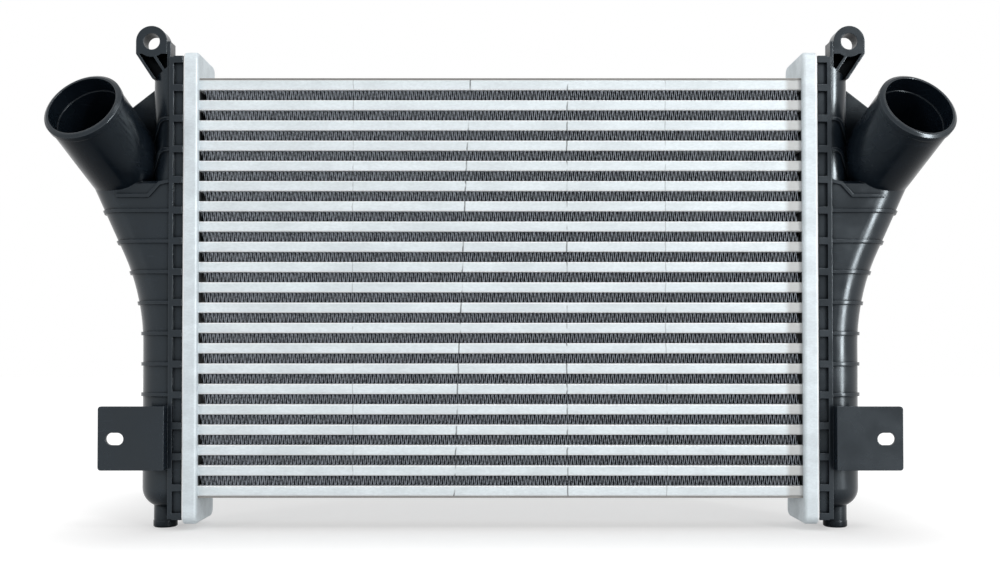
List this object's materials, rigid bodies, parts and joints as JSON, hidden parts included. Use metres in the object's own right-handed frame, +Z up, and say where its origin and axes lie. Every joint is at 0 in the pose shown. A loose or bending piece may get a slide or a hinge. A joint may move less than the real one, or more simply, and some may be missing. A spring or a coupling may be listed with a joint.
{
  "type": "intercooler",
  "caption": "Air-to-air charge cooler: flat tubes and folded fins between header pans, with moulded end tanks that carry hose necks, eyes, pegs and slotted plates.",
  "frame": {"origin": "on the plane of the two pegs' ends, under the middle of the whole envelope", "axes": "+X to the right along the tubes, +Y from the hose side (front) to the back, +Z up"},
  "size_m": [0.88, 0.1335, 0.5061],
  "materials": {
    "tube_aluminium": "bare brazed, slightly mottled",
    "fin_aluminium": "bare brazed sheet",
    "pan_aluminium": "bare brazed, mottled",
    "tank_plastic": "moulded glass-filled nylon, satin",
    "seal_rubber": "matt"
  },
  "bodies": {
    "root": {"charge_tube_01": "tube_aluminium", "charge_tube_02": "tube_aluminium", "charge_tube_03": "tube_aluminium", "charge_tube_04": "tube_aluminium", "charge_tube_05": "tube_aluminium", "charge_tube_06": "tube_aluminium", "charge_tube_07": "tube_aluminium", "charge_tube_08": "tube_aluminium", "charge_tube_09": "tube_aluminium", "charge_tube_10": "tube_aluminium", "charge_tube_11": "tube_aluminium", "charge_tube_12": "tube_aluminium", "charge_tube_13": "tube_aluminium", "charge_tube_14": "tube_aluminium", "charge_tube_15": "tube_aluminium", "charge_tube_16": "tube_aluminium", "charge_tube_17": "tube_aluminium", "charge_tube_18": "tube_aluminium", "charge_tube_19": "tube_aluminium", "charge_tube_20": "tube_aluminium", "charge_tube_21": "tube_aluminium", "air_fin_01": "fin_aluminium", "air_fin_02": "fin_aluminium", "air_fin_03": "fin_aluminium", "air_fin_04": "fin_aluminium", "air_fin_05": "fin_aluminium", "air_fin_06": "fin_aluminium", "air_fin_07": "fin_aluminium", "air_fin_08": "fin_aluminium", "air_fin_09": "fin_aluminium", "air_fin_10": "fin_aluminium", "air_fin_11": "fin_aluminium", "air_fin_12": "fin_aluminium", "air_fin_13": "fin_aluminium", "air_fin_14": "fin_aluminium", "air_fin_15": "fin_aluminium", "air_fin_16": "fin_aluminium", "air_fin_17": "fin_aluminium", "air_fin_18": "fin_aluminium", "air_fin_19": "fin_aluminium", "air_fin_20": "fin_aluminium", "turbulators": "fin_aluminium", "side_plate_top": "tube_aluminium", "side_plate_bottom": "tube_aluminium", "header_left": "pan_aluminium", "header_right": "pan_aluminium", "seal_left": "seal_rubber", "seal_right": "seal_rubber", "tank_left": "tank_plastic", "tank_right": "tank_plastic"}
  },
  "joints": []
}
